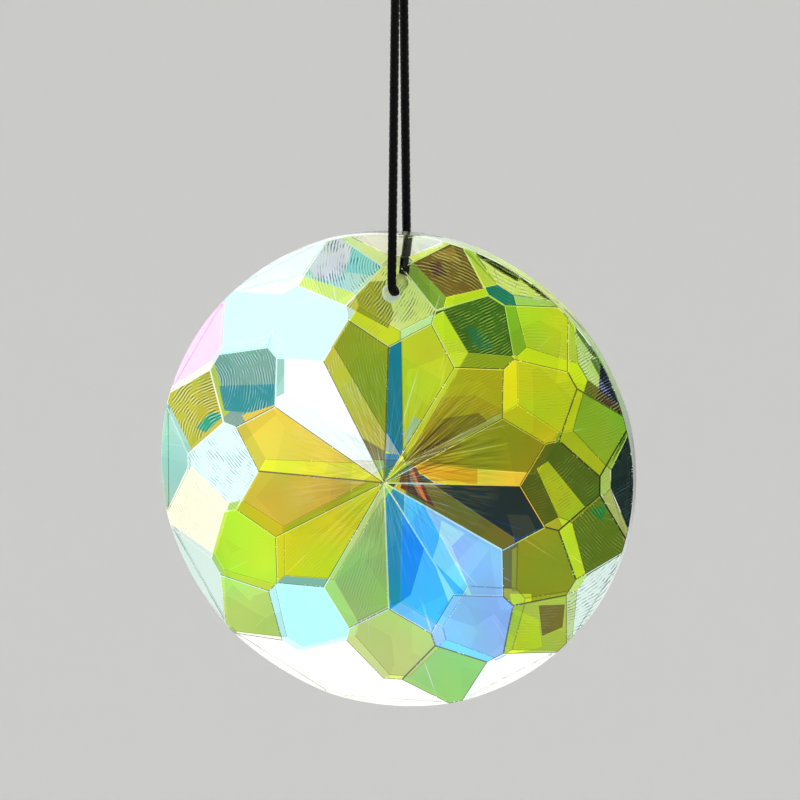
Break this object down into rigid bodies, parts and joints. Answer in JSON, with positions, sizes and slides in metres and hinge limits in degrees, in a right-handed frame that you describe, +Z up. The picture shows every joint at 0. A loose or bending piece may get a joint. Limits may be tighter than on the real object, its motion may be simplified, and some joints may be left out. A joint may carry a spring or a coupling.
{
  "type": "prism suncatcher",
  "caption": "Round faceted clear acrylic prism with an iridescent coating, hung on a black cord loop to catch sunlight in a window.",
  "frame": {"origin": "the hanging point, where a hook carries the cord loop, just under the knot", "axes": "+Z up along the cord, +Y through the disc from its front face to its back face, +X to the right of the front"},
  "size_m": [0.0761, 0.018, 0.1343],
  "materials": {
    "clear_acrylic": "polished clear acrylic with an iridescent yellow, green and blue coating",
    "black_cord": "black waxed braided cord"
  },
  "bodies": {
    "root": {"prism_disc": "clear_acrylic", "hanging_cord": "black_cord", "cord_knot": "black_cord"}
  },
  "joints": []
}
